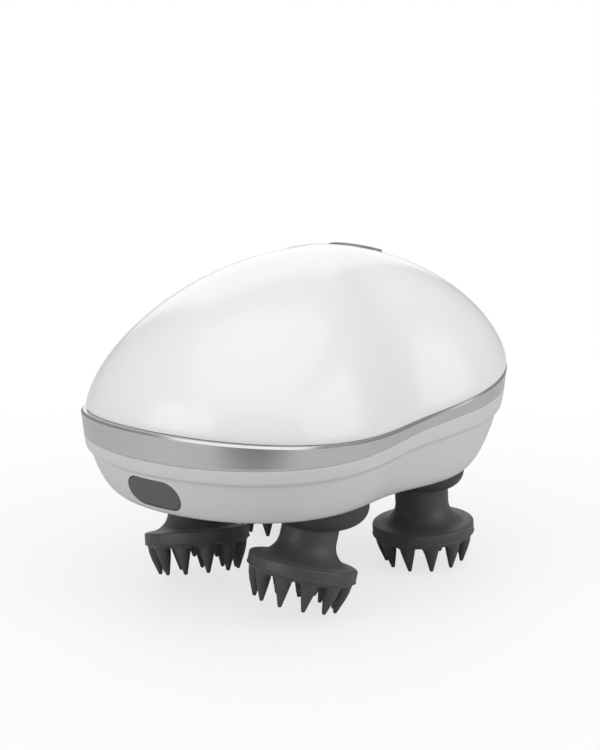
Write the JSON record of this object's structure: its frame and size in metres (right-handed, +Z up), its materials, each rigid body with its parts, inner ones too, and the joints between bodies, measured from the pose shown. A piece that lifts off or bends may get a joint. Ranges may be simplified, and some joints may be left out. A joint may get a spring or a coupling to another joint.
{
  "type": "electric scalp massager",
  "caption": "Cordless handheld scalp massager: an egg-shaped housing with a button, a silver trim band and rotating kneading heads with soft prongs on its underside.",
  "frame": {"origin": "on the table the prongs stand on, under the middle of the housing's length and width", "axes": "+X from the narrow nose with the charging port toward the broad tail, +Y across the housing, +Z up"},
  "size_m": [0.1174, 0.0888, 0.0855],
  "materials": {
    "dome_white": "polished, slightly soft reflections",
    "shell_white": "satin",
    "band_silver": "satin, brushed along the seam",
    "button_silver": "silver-grey, soft sheen",
    "head_silicone": "soft sheen",
    "boot_silicone": "soft, matte",
    "cover_rubber": "matte",
    "seal_rubber": "matte",
    "steel": "machined",
    "brass": "machined",
    "gear_plastic": "natural moulded",
    "frame_plastic": "moulded",
    "black_plastic": "moulded",
    "circuit_board": "lacquered",
    "cell_wrap": "shrink-wrapped"
  },
  "bodies": {
    "housing": {"upper_shell": "dome_white", "trim_band": "band_silver", "lower_shell": "shell_white", "seal_ring": "seal_rubber", "tact_switch": "steel", "control_board": "circuit_board", "board_chips": "black_plastic", "board_screws": "steel", "charge_socket": "steel", "charge_board": "circuit_board", "battery": "cell_wrap", "battery_cradle": "frame_plastic", "battery_strap": "black_plastic", "motor": "steel", "motor_clamp": "frame_plastic", "clamp_screws": "steel", "worm_bearing": "frame_plastic", "gear_axle": "steel", "lower_gear_plate": "frame_plastic", "upper_gear_plate": "frame_plastic", "gearbox_screws": "steel", "spindle_bushes": "brass", "boot_rings": "frame_plastic", "case_screws": "steel", "screw_caps": "shell_white", "boot_front_left": "boot_silicone", "boot_front_right": "boot_silicone", "boot_rear_left": "boot_silicone", "boot_rear_right": "boot_silicone"},
    "button": {"button": "button_silver", "switch_plunger": "black_plastic"},
    "port_cover": {"port_cover": "cover_rubber"},
    "drive": {"centre_gear": "gear_plastic", "worm_wheel": "gear_plastic"},
    "worm": {"worm": "brass", "motor_shaft": "steel"},
    "spindle_front_left": {"spindle_front_left": "steel", "gear_front_left": "gear_plastic", "clip_front_left": "brass"},
    "head_front_left": {"hub_front_left": "gear_plastic", "head_front_left": "head_silicone"},
    "spindle_front_right": {"spindle_front_right": "steel", "gear_front_right": "gear_plastic", "clip_front_right": "brass"},
    "head_front_right": {"hub_front_right": "gear_plastic", "head_front_right": "head_silicone"},
    "spindle_rear_left": {"spindle_rear_left": "steel", "gear_rear_left": "gear_plastic", "clip_rear_left": "brass"},
    "head_rear_left": {"hub_rear_left": "gear_plastic", "head_rear_left": "head_silicone"},
    "spindle_rear_right": {"spindle_rear_right": "steel", "gear_rear_right": "gear_plastic", "clip_rear_right": "brass"},
    "head_rear_right": {"hub_rear_right": "gear_plastic", "head_rear_right": "head_silicone"}
  },
  "joints": [
    {"name": "button_press", "type": "slide", "parent": "housing", "child": "button", "axis": [0.2539, 0, 0.9672], "range_m": [-0.0008, 0], "stiffness_N_per_m": 2500, "springref_m": 0.0002},
    {"name": "port_cover_pull", "type": "slide", "parent": "housing", "child": "port_cover", "axis": [-1, 0, 0], "range_m": [0, 0.009]},
    {"name": "drive_gear_spin", "type": "hinge", "parent": "housing", "child": "drive", "pos_m": [0.0043, 0, 0.0415], "axis": [0, 0, 1], "continuous": true},
    {"name": "worm_spin", "type": "hinge", "parent": "housing", "child": "worm", "pos_m": [0.0043, -0.0154, 0.055], "axis": [1, 0, 0], "continuous": true},
    {"name": "spindle_front_left_spin", "type": "hinge", "parent": "housing", "child": "spindle_front_left", "pos_m": [-0.0177, -0.02098, 0.0415], "axis": [0, 0, 1], "continuous": true},
    {"name": "head_front_left_spin", "type": "hinge", "parent": "spindle_front_left", "child": "head_front_left", "pos_m": [-0.0177, -0.02098, 0.03339], "axis": [0.2789, -0.0442, 0.9593], "continuous": true, "deforming": ["boot_front_left"]},
    {"name": "spindle_front_right_spin", "type": "hinge", "parent": "housing", "child": "spindle_front_right", "pos_m": [-0.0177, 0.02098, 0.0415], "axis": [0, 0, 1], "continuous": true},
    {"name": "head_front_right_spin", "type": "hinge", "parent": "spindle_front_right", "child": "head_front_right", "pos_m": [-0.0177, 0.02098, 0.03339], "axis": [0.1699, 0.2255, 0.9593], "continuous": true, "deforming": ["boot_front_right"]},
    {"name": "spindle_rear_left_spin", "type": "hinge", "parent": "housing", "child": "spindle_rear_left", "pos_m": [0.0237, -0.0234, 0.0415], "axis": [0, 0, 1], "continuous": true},
    {"name": "head_rear_left_spin", "type": "hinge", "parent": "spindle_rear_left", "child": "head_rear_left", "pos_m": [0.0237, -0.0234, 0.03236], "axis": [-0.0369, 0.0508, 0.998], "continuous": true, "deforming": ["boot_rear_left"]},
    {"name": "spindle_rear_right_spin", "type": "hinge", "parent": "housing", "child": "spindle_rear_right", "pos_m": [0.0237, 0.0234, 0.0415], "axis": [0, 0, 1], "continuous": true},
    {"name": "head_rear_right_spin", "type": "hinge", "parent": "spindle_rear_right", "child": "head_rear_right", "pos_m": [0.0237, 0.0234, 0.03236], "axis": [-0.0369, -0.0508, 0.998], "continuous": true, "deforming": ["boot_rear_right"]}
  ],
  "couplings": [
    {"joint": "worm_spin", "follows": "drive_gear_spin", "ratio": -30},
    {"joint": "spindle_front_left_spin", "follows": "drive_gear_spin", "ratio": -2.1667},
    {"joint": "head_front_left_spin", "follows": "drive_gear_spin", "ratio": 2.1667},
    {"joint": "spindle_front_right_spin", "follows": "drive_gear_spin", "ratio": -2.1667},
    {"joint": "head_front_right_spin", "follows": "drive_gear_spin", "ratio": 2.1667},
    {"joint": "spindle_rear_left_spin", "follows": "drive_gear_spin", "ratio": -2.1667},
    {"joint": "head_rear_left_spin", "follows": "drive_gear_spin", "ratio": 2.1667},
    {"joint": "spindle_rear_right_spin", "follows": "drive_gear_spin", "ratio": -2.1667},
    {"joint": "head_rear_right_spin", "follows": "drive_gear_spin", "ratio": 2.1667}
  ]
}
